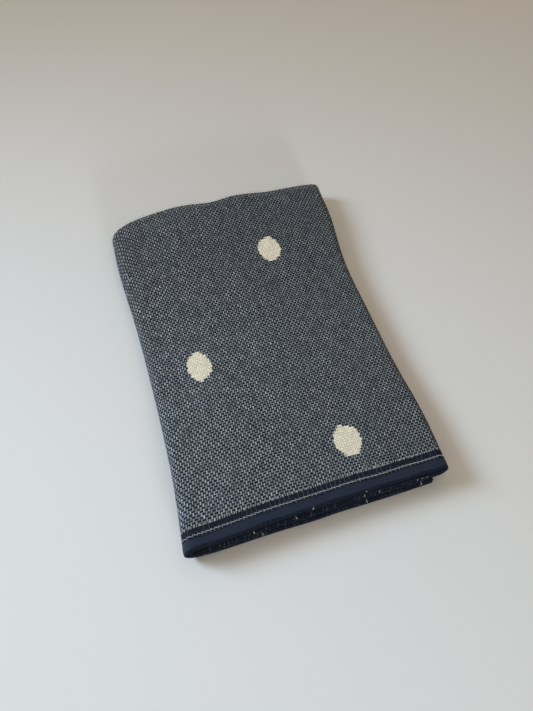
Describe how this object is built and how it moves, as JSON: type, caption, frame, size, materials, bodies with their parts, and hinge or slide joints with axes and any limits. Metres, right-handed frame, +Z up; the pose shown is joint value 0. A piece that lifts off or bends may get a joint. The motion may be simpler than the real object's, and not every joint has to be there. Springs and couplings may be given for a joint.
{
  "type": "folded washcloth",
  "caption": "Folded cotton washcloth: a square plain-woven cloth with oval dots, folded over and rolled into a flat pad with its overlocked hems at the front.",
  "frame": {"origin": "centre of the box that holds the folded cloth, on the surface that it rests on", "axes": "+X to the right across the folded cloth, +Y from the open hems to the far fold, +Z up out of the top panel"},
  "size_m": [0.1144, 0.1728, 0.0118],
  "materials": {
    "cloth": "soft plain weave of navy and cream cotton, matt"
  },
  "bodies": {
    "root": {"cloth": "cloth"}
  },
  "joints": []
}
